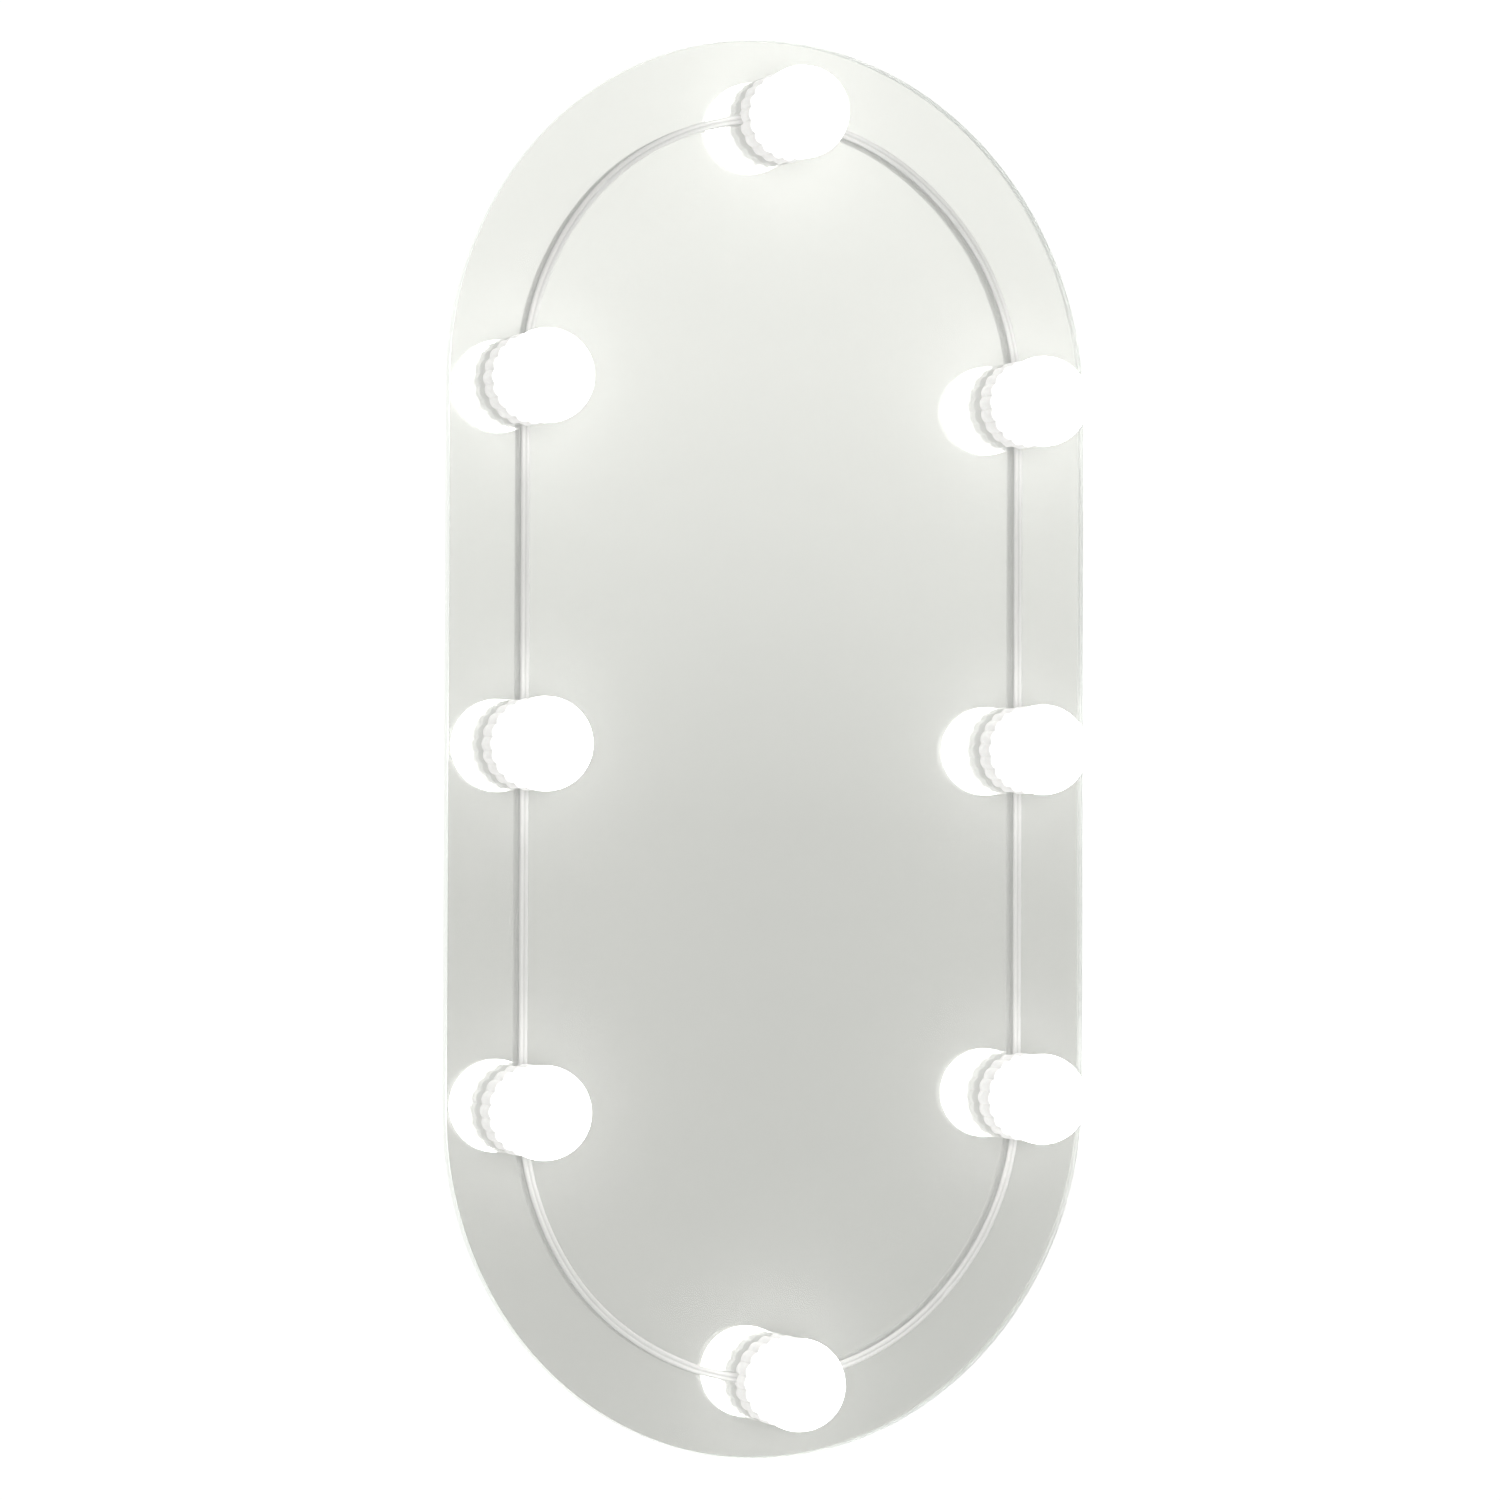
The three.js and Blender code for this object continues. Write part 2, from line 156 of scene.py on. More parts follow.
def revolve(bm, profile, segments=96, closed=True):
    """Turns a profile of (radius, height) or (radius, height, share of the ribs) about the bench z axis."""
    rings = []
    for radius, height, *ribbed in profile:
        share = ribbed[0] if ribbed else 0
        if radius < TINY:
            rings.append([bm.verts.new(stand((0, 0, height)))])
            continue
        ring = []
        for i in range(segments):
            angle = 2 * math.pi * i / segments
            at = radius - share * rib_dip(angle)
            ring.append(bm.verts.new(stand((at * math.cos(angle), at * math.sin(angle), height))))
        rings.append(ring)
    pairs = list(zip(rings, rings[1:] + rings[:1])) if closed else list(zip(rings, rings[1:]))
    for a, b in pairs:
        if len(a) == 1 and len(b) == 1:
            continue
        for i in range(segments):
            j = (i + 1) % segments
            if len(a) == 1:
                bm.faces.new((a[0], b[i], b[j]))
            elif len(b) == 1:
                bm.faces.new((a[i], a[j], b[0]))
            else:
                bm.faces.new((a[i], a[j], b[j], b[i]))


def turned(name, profile, looks, segments=96, closed=True, sharp_angle=SHARP_ANGLE):
    """A solid of revolution. A profile that isn't closed starts and ends on the axis."""
    bm = bmesh.new()
    revolve(bm, profile, segments, closed)
    return new_object(name, bm, looks, sharp_angle)


def arc(centre, radius, start, sweep, steps):
    """Points along part of a circle, its two ends included. Angles are in radians."""
    x, y = centre
    points = []
    for i in range(steps + 1):
        angle = start + sweep * i / steps
        points.append((x + radius * math.cos(angle), y + radius * math.sin(angle)))
    return points


def rounded(points, radius, steps):
    """A closed outline with its corners rounded; a corner's own radius can be its third number."""
    out = []
    count = len(points)
    for i, point in enumerate(points):
        at = Vector(point[:2])
        size = point[2] if len(point) > 2 else radius
        before = Vector(points[i - 1][:2]) - at
        after = Vector(points[(i + 1) % count][:2]) - at
        half = before.angle(after) / 2
        shorter = min(before.length, after.length)
        back = min(size / math.tan(half), shorter * CORNER_SHARE)
        if back < TINY:
            out.append(tuple(at))
            continue
        start = at + before.normalized() * back
        end = at + after.normalized() * back
        for k in range(steps + 1):
            t = k / steps
            out.append(tuple(start * (1 - t) ** 2 + at * 2 * t * (1 - t) + end * t ** 2))
    return out


def loft(bm, rings, ends=True):
    """Joins equal rings of bench points one after another, and closes the first and the last."""
    made = [[bm.verts.new(stand(p)) for p in ring] for ring in rings]
    for a, b in zip(made, made[1:]):
        for i in range(len(a)):
            j = (i + 1) % len(a)
            bm.faces.new((a[i], a[j], b[j], b[i]))
    if ends:
        bm.faces.new(made[0][::-1])
        bm.faces.new(made[-1])
    return made


def curved_block(bm, inner, outer, start, end, foot, top):
    """A block that curves about the bench z axis between two angles in degrees."""
    steps = 10
    rings = []
    for i in range(steps + 1):
        angle = math.radians(start + (end - start) * i / steps)
        c, s = math.cos(angle), math.sin(angle)
        corners = ((inner, foot), (outer, foot), (outer, top), (inner, top))
        rings.append([(r * c, r * s, h) for r, h in corners])
    loft(bm, rings)


def cut(target, cutter, operation="DIFFERENCE"):
    """Cuts or joins one mesh with another for good, and removes the second. Where the second has no look,
    its faces take the first one's."""
    if not cutter.data.materials:
        cutter.data.materials.append(target.data.materials[0])
    modifier = target.modifiers.new("cut", "BOOLEAN")
    modifier.operation = operation
    modifier.solver = "MANIFOLD"
    modifier.object = cutter
    apply_modifiers(target)
    bpy.data.objects.remove(cutter)
    return target


def apply_modifiers(target):
    """Turns a mesh with modifiers into a plain mesh of the same shape."""
    bpy.context.view_layer.update()
    evaluated = target.evaluated_get(bpy.context.evaluated_depsgraph_get())
    mesh = bpy.data.meshes.new_from_object(evaluated)
    target.modifiers.clear()
    old = target.data
    target.data = mesh
    mesh.name = target.name
    bpy.data.meshes.remove(old)


def soften(target, width):
    """Rounds a mesh's sharp edges, width in millimetres."""
    modifier = target.modifiers.new("soften", "BEVEL")
    modifier.width = width * MM
    modifier.segments = 2
    modifier.limit_method = "ANGLE"
    modifier.angle_limit = math.radians(SHARP_ANGLE)
    modifier.harden_normals = True
    apply_modifiers(target)
    return target


def copy_of(master, name):
    """Another object with the same mesh, named for itself."""
    made = bpy.data.objects.new(name, master.data)
    bpy.context.scene.collection.objects.link(made)
    return made


def install(piece, body, node):
    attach(piece, body)
    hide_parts(node)


# ---- Materials. Texture scales are per metre.

LAMP_LIGHT = (1.0, 0.99, 0.97, 1)
NECK_GLOW = 6.5  # the globe's light at its rim
POLE_GLOW = 7.5  # and at its top
PAINTED_FOOT_GLOW = 0.52  # painted glow on the white plastic at the glass, lightening its shaded foot; it stands for lamp light let through the plastic
PAINTED_COLLAR_GLOW = 0.44  # and the painted glow at the collar's top
PAINTED_EDGE_GLOW = 0.28  # painted glow on the plate's ground edge, standing for lamp light caught in it
PAINTED_LEAD_GLOW = 0.32  # painted glow on the lead's sheath, lightening its shaded underside; it stands for lamp light let through the sheath
CLARITY = 0.86  # the share of light that passes the glass without meeting its haze
WEAVE = 2600.0  # the back film's threads, in radians a metre


def colour_ramp(tree, source, stops):
    """stops are (position, colour)."""
    node = tree.nodes.new("ShaderNodeValToRGB")
    elements = node.color_ramp.elements
    while len(elements) < len(stops):
        elements.new(0.5)
    for element, (position, colour) in zip(elements, stops):
        element.position = position
        element.color = (*colour, 1)
    tree.links.new(source, node.inputs["Fac"])
    return node.outputs["Color"]


def map_range(tree, source, from_range, to_range, interpolation="LINEAR"):
    node = tree.nodes.new("ShaderNodeMapRange")
    node.interpolation_type = interpolation
    sockets = ("From Min", "From Max", "To Min", "To Max")
    for socket, value in zip(sockets, (*from_range, *to_range)):
        node.inputs[socket].default_value = value
    tree.links.new(source, node.inputs["Value"])
    return node.outputs["Result"]


class Look:
    """A material with a Principled shader and the few kinds of texture that the looks are made of."""

    def __init__(self, name, **sockets):
        self.material = bpy.data.materials.new(name)
        self.material.use_nodes = True
        self.tree = self.material.node_tree
        self.shader = self.tree.nodes["Principled BSDF"]
        for socket, value in sockets.items():
            self.shader.inputs[socket.replace("_", " ")].default_value = value
        self.place = self.node("ShaderNodeTexCoord").outputs["Object"]

    def node(self, kind, **settings):
        made = self.tree.nodes.new(kind)
        for key, value in settings.items():
            setattr(made, key, value)
        return made

    def link(self, start, end):
        self.tree.links.new(start, end)

    def noise(self, scale, detail=4.0, stretch=(1, 1, 1)):
        mapping = self.node("ShaderNodeMapping")
        mapping.inputs["Scale"].default_value = stretch
        texture = self.node("ShaderNodeTexNoise")
        texture.inputs["Scale"].default_value = scale
        texture.inputs["Detail"].default_value = detail
        self.link(self.place, mapping.inputs["Vector"])
        self.link(mapping.outputs["Vector"], texture.inputs["Vector"])
        return texture.outputs["Fac"]

    def cells(self, scale):
        texture = self.node("ShaderNodeTexVoronoi")
        texture.inputs["Scale"].default_value = scale
        self.link(self.place, texture.inputs["Vector"])
        return texture

    def span(self, source, low, high, source_low=0.3, source_high=0.7):
        """source from its usual range, which for noise is 0.3 to 0.7, to another range."""
        return map_range(self.tree, source, (source_low, source_high), (low, high))

    def ramp(self, source, *stops):
        """stops are (position, colour)."""
        return colour_ramp(self.tree, source, stops)

    def math(self, operation, a, b=0.0):
        node = self.node("ShaderNodeMath", operation=operation)
        for socket, value in zip(node.inputs, (a, b)):
            if isinstance(value, (int, float)):
                socket.default_value = value
            else:
                self.link(value, socket)
        return node.outputs["Value"]

    def axis(self, index):
        node = self.node("ShaderNodeSeparateXYZ")
        self.link(self.place, node.inputs["Vector"])
        return node.outputs[index]

    def edges(self):
        """About 0.5 on flat stretches, more on edges and less in grooves."""
        return self.node("ShaderNodeNewGeometry").outputs["Pointiness"]

    def set(self, socket, source):
        self.link(source, self.shader.inputs[socket])

    def bump(self, source, depth, strength=1.0):
        """depth in millimetres."""
        node = self.node("ShaderNodeBump")
        node.inputs["Strength"].default_value = strength
        node.inputs["Distance"].default_value = depth * MM
        self.link(source, node.inputs["Height"])
        self.set("Normal", node.outputs["Normal"])


def moulded_plastic(name, shaded_groove, flat, edge, grain=2200, grain_depth=0.012, roughness=(0.3, 0.42),
                    **sockets):
    """Fine-grained plastic with painted shade in its grooves and a painted highlight on its edges: a colour
    for its grooves, one for its flats and one for its edges.
    """
    look = Look(name, IOR=1.5, **sockets)
    # Painted shade in the grooves and a painted highlight on the edges, chosen by pointiness.
    look.set("Base Color", look.ramp(look.edges(), (0.42, shaded_groove), (0.5, flat), (0.6, edge)))
    look.set("Roughness", look.span(look.noise(90), *roughness))
    look.bump(look.noise(grain, 2.0), grain_depth)
    return look


def height_in_lamp(look):
    """Millimetres above the glass, on a piece made about the lamp's own axis."""
    return look.math("MULTIPLY", look.axis(1), -1 / MM)


def lamp_plastic():
    """White plastic with a painted glow for the lamp's light coming through, a little more of it near the
    glass, and with painted shade in its grooves and a painted highlight on its edges.
    """
    # Painted shade in the grooves and a painted highlight on the edges.
    look = moulded_plastic("white_plastic", (0.16, 0.16, 0.16), (0.42, 0.42, 0.42), (0.60, 0.60, 0.60),
                           Emission_Color=LAMP_LIGHT)
    # Painted glow, strongest at the glass, where it lightens the shaded foot.
    glow = look.span(height_in_lamp(look), PAINTED_FOOT_GLOW, PAINTED_COLLAR_GLOW, BASE_FOOT, COLLAR_TOP)
    look.set("Emission Strength", glow)
    return look.material


def clear_glass():
    """Glass with the faint haze of a wiped mirror, which catches the lamps' light."""
    look = Look("clear_glass", IOR=1.52, Transmission_Weight=CLARITY)
    wiped = look.noise(9, 5.0, (1, 1, 3))
    look.set("Base Color", look.ramp(wiped, (0.3, (0.98, 0.99, 0.98)), (0.7, (0.99, 1.0, 0.99))))
    look.set("Roughness", look.span(wiped, 0.0, 0.012, 0.45, 0.75))
    return look.material


def ground_edge():
    """Glass edge ground matt, with fine marks from the wheel, and a painted glow that stands for the lamps'
    light caught in it.
    """
    # Painted glow that lightens the ground edge.
    look = Look("ground_edge", IOR=1.52, Transmission_Weight=0.1, Emission_Color=(0.98, 1.0, 0.985, 1),
                Emission_Strength=PAINTED_EDGE_GLOW)
    marks = look.noise(1400, 3.0, (0.15, 1, 0.15))
    look.set("Base Color", look.ramp(marks, (0.3, (0.80, 0.83, 0.81)), (0.7, (0.88, 0.90, 0.88))))
    look.set("Roughness", look.span(look.noise(300), 0.45, 0.6))
    look.bump(marks, 0.02)
    return look.material


def silvering():
    """Silver on the back of the glass, with broad faint changes of tone."""
    look = Look("silvering", Metallic=1.0)
    tone = look.ramp(look.noise(2.5, 2.0), (0.3, (0.955, 0.96, 0.95)), (0.7, (0.965, 0.965, 0.955)))
    look.set("Base Color", tone)
    look.set("Roughness", look.span(look.noise(30, 3.0), 0.015, 0.03))
    return look.material


def back_paint():
    """Grey mirror-back paint under a clear safety film with a fine woven pattern."""
    look = Look("back_paint", IOR=1.5, Coat_Weight=0.35, Coat_Roughness=0.2)
    tone = look.ramp(look.noise(14, 6.0), (0.3, (0.40, 0.43, 0.45)), (0.7, (0.47, 0.50, 0.52)))
    look.set("Base Color", tone)
    look.set("Roughness", look.span(look.noise(55), 0.38, 0.55))
    threads = [look.math("SINE", look.math("MULTIPLY", look.axis(index), WEAVE)) for index in (0, 2)]
    weave = look.math("MULTIPLY", *threads)
    look.bump(look.math("ADD", weave, look.noise(25, 3.0)), 0.03, 0.6)
    return look.material


def opal_plastic():
    """Frosted opal plastic lit from inside, a little brighter towards the pole."""
    look = Look("opal_plastic", Base_Color=(0.95, 0.95, 0.94, 1), IOR=1.49, Emission_Color=LAMP_LIGHT)
    glow = look.span(height_in_lamp(look), NECK_GLOW, POLE_GLOW, GLOBE_RIM, GLOBE_TOP)
    look.set("Emission Strength", look.math("MULTIPLY", glow, look.span(look.noise(60), 0.97, 1.03)))
    look.set("Roughness", look.span(look.noise(250), 0.28, 0.4))
    look.bump(look.noise(2600, 2.0), 0.01)
    return look.material


def lead_sheath():
    """Soft white PVC with painted shade in the dip between its cores. A painted glow stands for the light
    that it lets through.
    """
    # Painted glow on the sheath.
    look = Look("lead_sheath", IOR=1.52, Coat_Weight=0.1, Coat_Roughness=0.25, Emission_Color=(1, 1, 0.98, 1),
                Emission_Strength=PAINTED_LEAD_GLOW)
    # Painted shade in the dip between the cores, chosen by pointiness, with a faint random mottle.
    dip_shade_and_mottle = look.math("ADD", look.math("MULTIPLY", look.noise(45, 5.0), 0.1), look.edges())
    look.set("Base Color", look.ramp(dip_shade_and_mottle, (0.45, (0.22, 0.22, 0.215)), (0.58, (0.38, 0.38, 0.375))))
    look.set("Roughness", look.span(look.noise(140), 0.38, 0.52))
    look.bump(look.noise(900, 3.0), 0.03)
    return look.material


def foam_tape():
    """White foam, with painted shade in the open bubbles of a cut edge."""
    look = Look("foam_tape", IOR=1.45)
    bubbles = look.cells(1900).outputs["Distance"]
    # Painted shade at the middles of the bubbles.
    look.set("Base Color", look.ramp(bubbles, (0.0, (0.62, 0.62, 0.60)), (0.5, (0.82, 0.82, 0.80))))
    look.set("Roughness", look.span(look.noise(200), 0.8, 0.95))
    look.bump(bubbles, 0.15)
    return look.material


def zinc_steel():
    """Zinc plate: faint fine spangles, rolling lines, and brighter worn edges."""
    look = Look("zinc_steel", Metallic=1.0)
    grey = look.node("ShaderNodeRGBToBW")
    look.link(look.cells(420).outputs["Color"], grey.inputs["Color"])
    spangle = grey.outputs["Val"]
    half_spangle = look.math("MULTIPLY", spangle, 0.5)
    blend = look.math("ADD", half_spangle, look.math("MULTIPLY", look.edges(), 0.5))
    look.set("Base Color", look.ramp(blend, (0.3, (0.66, 0.67, 0.685)), (0.62, (0.79, 0.80, 0.815))))
    look.set("Roughness", look.span(spangle, 0.30, 0.38, 0.0, 1.0))
    look.bump(look.noise(350, 3.0, (1, 1, 0.05)), 0.02)
    return look.material


def rubber(name, dark, light):
    """Matt moulded rubber, mottled between two tones."""
    look = Look(name, IOR=1.5)
    look.set("Base Color", look.ramp(look.noise(120, 6.0), (0.3, dark), (0.7, light)))
    look.set("Roughness", look.span(look.noise(300), 0.62, 0.82))
    look.bump(look.noise(1500, 3.0), 0.04)
    return look.material


def plated_pin():
    """The socket's pin in bright nickel."""
    look = Look("plated_pin", Metallic=1.0)
    look.set("Base Color", look.ramp(look.noise(500), (0.3, (0.70, 0.69, 0.66)), (0.7, (0.80, 0.79, 0.76))))
    look.set("Roughness", look.span(look.noise(900), 0.15, 0.3))
    return look.material


def board_mask():
    """White solder mask over an aluminium board."""
    look = Look("board_mask", IOR=1.5)
    tone = look.ramp(look.noise(80, 5.0), (0.3, (0.86, 0.87, 0.84)), (0.7, (0.92, 0.92, 0.89)))
    look.set("Base Color", tone)
    look.set("Roughness", look.span(look.noise(200), 0.3, 0.45))
    look.bump(look.noise(700), 0.02)
    return look.material


def phosphor():
    """The yellow face of a lit LED package."""
    look = Look("phosphor", IOR=1.45, Emission_Color=(1.0, 0.93, 0.8, 1), Emission_Strength=2.0)
    look.set("Base Color", look.ramp(look.noise(1200), (0.3, (0.92, 0.72, 0.18)), (0.7, (0.96, 0.80, 0.30))))
    look.set("Roughness", look.span(look.noise(900), 0.45, 0.65))
    return look.material


CLEAR_GLASS = clear_glass()
GROUND_EDGE = ground_edge()
SILVERING = silvering()
BACK_PAINT = back_paint()
WHITE_PLASTIC = lamp_plastic()
# Painted shade in the cover's grooves and a painted highlight on its edges.
COVER_PLASTIC = moulded_plastic("cover_plastic", (0.74, 0.74, 0.73), (0.88, 0.88, 0.87), (0.93, 0.93, 0.92),
                                grain=1300, grain_depth=0.03, roughness=(0.42, 0.55)).material
# Painted shade in the socket's grooves and a painted highlight on its edges.
BLACK_PLASTIC = moulded_plastic("black_plastic", (0.01, 0.01, 0.011), (0.03, 0.03, 0.032),
                                (0.07, 0.07, 0.072)).material
OPAL = opal_plastic()
LEAD_SHEATH = lead_sheath()
FOAM = foam_tape()
ZINC = zinc_steel()
GREY_RUBBER = rubber("grey_rubber", (0.20, 0.21, 0.215), (0.27, 0.28, 0.285))
BLACK_RUBBER = rubber("black_rubber", (0.012, 0.012, 0.012), (0.03, 0.03, 0.03))
PIN_METAL = plated_pin()
BOARD_MASK = board_mask()
PHOSPHOR = phosphor()

# ---- The plate.

PLATE_STEPS = 120  # round each end
FEED_STEPS = 48  # round the feed hole
FEED_HOLE = 4.6  # its radius
FEED_CENTRE = centres[4]
FLAT = 0.9999  # the least that the y of a normal is on the plate's flat faces


def obround(inset, height):
    radius = END_RADIUS - inset
    upper = arc((0, TURN_Y), radius, 0, math.pi, PLATE_STEPS)
    lower = arc((0, -TURN_Y), radius, math.pi, math.pi, PLATE_STEPS)
    return [(x, y, height) for x, y in upper + lower]


def feed_ring(radius, height):
    circle = arc(FEED_CENTRE, radius, 0, 2 * math.pi, FEED_STEPS)
    return [(x, y, height) for x, y in circle[:-1]]


def plate(name, edge, hole, looks):
    """A plate with the feed hole through it. Its edge is (inset, height) points from back to front, and its
    hole (radius, height) points."""
    bm = bmesh.new()
    outer = loft(bm, [obround(inset, height) for inset, height in edge], ends=False)
    inner = loft(bm, [feed_ring(radius, height) for radius, height in hole], ends=False)
    for index in (0, -1):
        border = []
        for ring in (outer[index], inner[index]):
            border += [bm.edges.get((ring[i], ring[(i + 1) % len(ring)])) for i in range(len(ring))]
        bmesh.ops.triangle_fill(bm, use_beauty=True, use_dissolve=False, edges=border)
    made = new_object(name, bm, looks)
    for polygon in made.data.polygons:
        if abs(polygon.normal.y) > FLAT:
            polygon.use_smooth = False
    return made


def mirror_glass():
    """5 mm glass with a ground, rounded arris. Its back face carries the silvering."""
    arris = 0.6
    steps = 4
    round_over = []
    for i in range(steps + 1):
        angle = math.pi / 2 * i / steps
        round_over.append((arris * (1 - math.sin(angle)), arris * (1 - math.cos(angle))))
    edge = [(inset, GLASS_BACK + depth) for inset, depth in round_over]
    edge += [(inset, GLASS_FRONT - depth) for inset, depth in reversed(round_over)]
    chamfer = 0.3
    hole = [(FEED_HOLE + chamfer, GLASS_BACK), (FEED_HOLE, GLASS_BACK + chamfer)]
    hole += [(FEED_HOLE, GLASS_FRONT - chamfer), (FEED_HOLE + chamfer, GLASS_FRONT)]
    made = plate("glass_plate", edge, hole, [CLEAR_GLASS, SILVERING, GROUND_EDGE])
    for polygon in made.data.polygons:
        if abs(polygon.normal.y) < FLAT:
            polygon.material_index = 2
        elif polygon.normal.y > 0:  # the back
            polygon.material_index = 1
    return made


def painted_back():
    """Paint and safety film behind the silvering, trimmed a little inside the glass's edge."""
    back = bench_box("silver_backing")[0].z
    front = GLASS_BACK - 0.03
    trim = 1.2
    bevel = 0.2
    edge = [(trim + bevel, back), (trim, back + bevel), (trim, front)]
    hole = [(FEED_HOLE, back), (FEED_HOLE, front)]
    return plate("painted_back", edge, hole, [BACK_PAINT])


install(mirror_glass(), "root", "mirror_glass")
install(painted_back(), "root", "silver_backing")

# ---- The lead loop.

LEAD_STEPS = 72
WANDER = 0.22  # how far a hand-laid turn strays from its arc
WANDER_RATE = 11  # how fast it swings from side to side, in radians a turn


def lead_route(i):
    """The lead from lamp i + 1 to the next, as a function of t from 0 to 1 that gives a point and the
    direction across the lead there."""
    (x0, y0), (x1, y1) = centres[i], centres[(i + 1) % LAMPS]
    if abs(x0 - x1) < TINY:
        way = math.copysign(1, y1 - y0)
        start, length = y0 + way * LEAD_END, abs(y1 - y0) - 2 * LEAD_END
        return lambda t: ((x0, start + way * length * t), (way, 0))
    middle_y = TURN_Y if y0 + y1 > 0 else -TURN_Y
    trim = 2 * math.asin(LEAD_END / 2 / LOOP_RADIUS)
    first = math.atan2(y0 - middle_y, x0)
    last = first - math.pi / 2  # clockwise
    first, last = first - trim, last + trim

    def along(t):
        angle = first + (last - first) * t
        radius = LOOP_RADIUS + WANDER * math.sin(math.pi * t) * math.sin(WANDER_RATE * t + 2 * i)
        side = (math.cos(angle), math.sin(angle))
        return (radius * side[0], middle_y + radius * side[1]), side

    return along


def twin_section():
    """Two round cores side by side with a web between them, as (across, up) points."""
    core = (LEAD_TOP - LEAD_FOOT) / 2
    centre = LEAD_WIDTH / 2 - core
    half_web = 0.62
    open_angle = math.pi - math.asin(half_web / core)
    points = []
    steps = 14
    for side in (1, -1):
        for i in range(steps + 1):
            angle = -open_angle + 2 * open_angle * i / steps
            points.append((side * (centre + core * math.cos(angle)), side * core * math.sin(angle)))
    return points


def twin_lead(name, along):
    middle = GLASS_FRONT + (LEAD_FOOT + LEAD_TOP) / 2
    rings = []
    for k in range(LEAD_STEPS + 1):
        (x, y), side = along(k / LEAD_STEPS)
        rings.append([(x + side[0] * a, y + side[1] * a, middle + up) for a, up in twin_section()])
    bm = bmesh.new()
    loft(bm, rings)
    return new_object(name, bm, [LEAD_SHEATH], sharp_angle=60)


for i in range(LAMPS):
    node = f"lead_{i + 1}_to_{(i + 1) % LAMPS + 1}"
    install(twin_lead(f"twin_{node}", lead_route(i)), "root", node)

# ---- The lamps. Each piece is made once about its own axis, with height 0 on the glass.

RIB_SEGMENTS = RIBS * 14
EASED = 0.3  # how far the rims' edges are rounded
# The rims' rounded edge, as (in from the crests, along from the end) points.
RIM_CURVE = ((EASED, 0), (0.08, 0.1), (0, EASED))
# The collar's top edge, as (in from the crests, down from the top, share of the ribs) points.
COLLAR_CROWN = ((0, 0.9, 1), (0.12, 0.4, 1), (0.45, 0.1, 0.8), (0.95, 0, 0.5))
BASE_FLOOR = {"foot": 1.3, "top": 2.3}
HUB = {"radius": 10, "bore": 4, "top": 6.8}


def base_blank():
    """A base without its bayonet slots and lead notches: ribbed rim, spigot, floor and spool hub."""
    rim = [(RIB_CREST - inward, BASE_FOOT + up, 1) for inward, up in RIM_CURVE]
    rim += [(RIB_CREST - inward, RIM_TOP - down, 1) for inward, down in reversed(RIM_CURVE)]
    spigot = [(SPIGOT_OUTER, RIM_TOP), (SPIGOT_OUTER, SPIGOT_TOP - EASED), (SPIGOT_OUTER - EASED, SPIGOT_TOP)]
    spigot += [(SPIGOT_INNER + EASED, SPIGOT_TOP), (SPIGOT_INNER, SPIGOT_TOP - EASED)]
    spigot += [(SPIGOT_INNER, BASE_FLOOR["top"])]
    hub = [(HUB["radius"], BASE_FLOOR["top"]), (HUB["radius"], HUB["top"] - EASED)]
    hub += [(HUB["radius"] - EASED, HUB["top"]), (HUB["bore"], HUB["top"]), (HUB["bore"], BASE_FLOOR["foot"])]
    hub += [(SPIGOT_INNER, BASE_FLOOR["foot"]), (SPIGOT_INNER, BASE_FOOT)]
    return turned("base_blank", rim + spigot + hub, [WHITE_PLASTIC], RIB_SEGMENTS)


def bayonet_cutter(top, entry_only):
    """The three slots that the collar's lugs turn in, or only the openings that the lugs drop in by."""
    bm = bmesh.new()
    half = LUG["spread"] / 2 + SLOT["ease"]
    for locked in LUG_TURNS:
        start = locked + TURN - half if entry_only else locked - half
        curved_block(bm, SPIGOT_INNER - 1, COLLAR_BORE + 0.2, start, locked + TURN + half, SLOT["foot"], top)
    return new_object("cutter", bm)


def notch_cutter(n):
    """The two openings in base n's rim for its leads, about the lamp's own axis."""
    x, y = centres[n - 1]
    middle = (LEAD_FOOT + LEAD_TOP) / 2
    ease = 0.4
    wide, high = LEAD_WIDTH / 2 + ease, LEAD_TOP - middle + ease
    section = [(wide, -high), (wide, high), (-wide, high), (-wide, -high)]
    reach = 0.06  # the share of a lead that its notch follows
    steps = 8
    bm = bmesh.new()
    for i in (n - 1, (n - 2) % LAMPS):
        along = lead_route(i)
        rings = []
        for k in range(steps + 1):
            t = reach * k / steps
            (px, py), side = along(t if i == n - 1 else 1 - t)
            rings.append([(px - x + side[0] * a, py - y + side[1] * a, middle + up) for a, up in section])
        loft(bm, rings)
    return new_object("cutter", bm)


def twist_collar():
    """The ribbed collar, with a ledge under the globe and three bayonet lugs."""
    side = [(RIB_CREST - inward, COLLAR_FOOT + up, 1) for inward, up in RIM_CURVE]
    side += [(RIB_CREST - inward, COLLAR_TOP - down, share) for inward, down, share in COLLAR_CROWN]
    inside = [(MOUTH_RADIUS + EASED, COLLAR_TOP), (MOUTH_RADIUS, COLLAR_TOP - EASED)]
    inside += [(MOUTH_RADIUS, LEDGE["top"]), (LEDGE["inner"], LEDGE["top"]), (LEDGE["inner"], LEDGE["foot"])]
    inside += [(COLLAR_BORE, LEDGE["foot"]), (COLLAR_BORE, COLLAR_FOOT)]
    collar = turned("collar_blank", side + inside, [WHITE_PLASTIC], RIB_SEGMENTS)
    bm = bmesh.new()
    for locked in LUG_TURNS:
        ends = (locked - LUG["spread"] / 2, locked + LUG["spread"] / 2)
        curved_block(bm, LUG["inner"], COLLAR_BORE + 0.5, *ends, LUG["foot"], LUG["top"])
    return cut(collar, new_object("lugs", bm, [WHITE_PLASTIC]), "UNION")


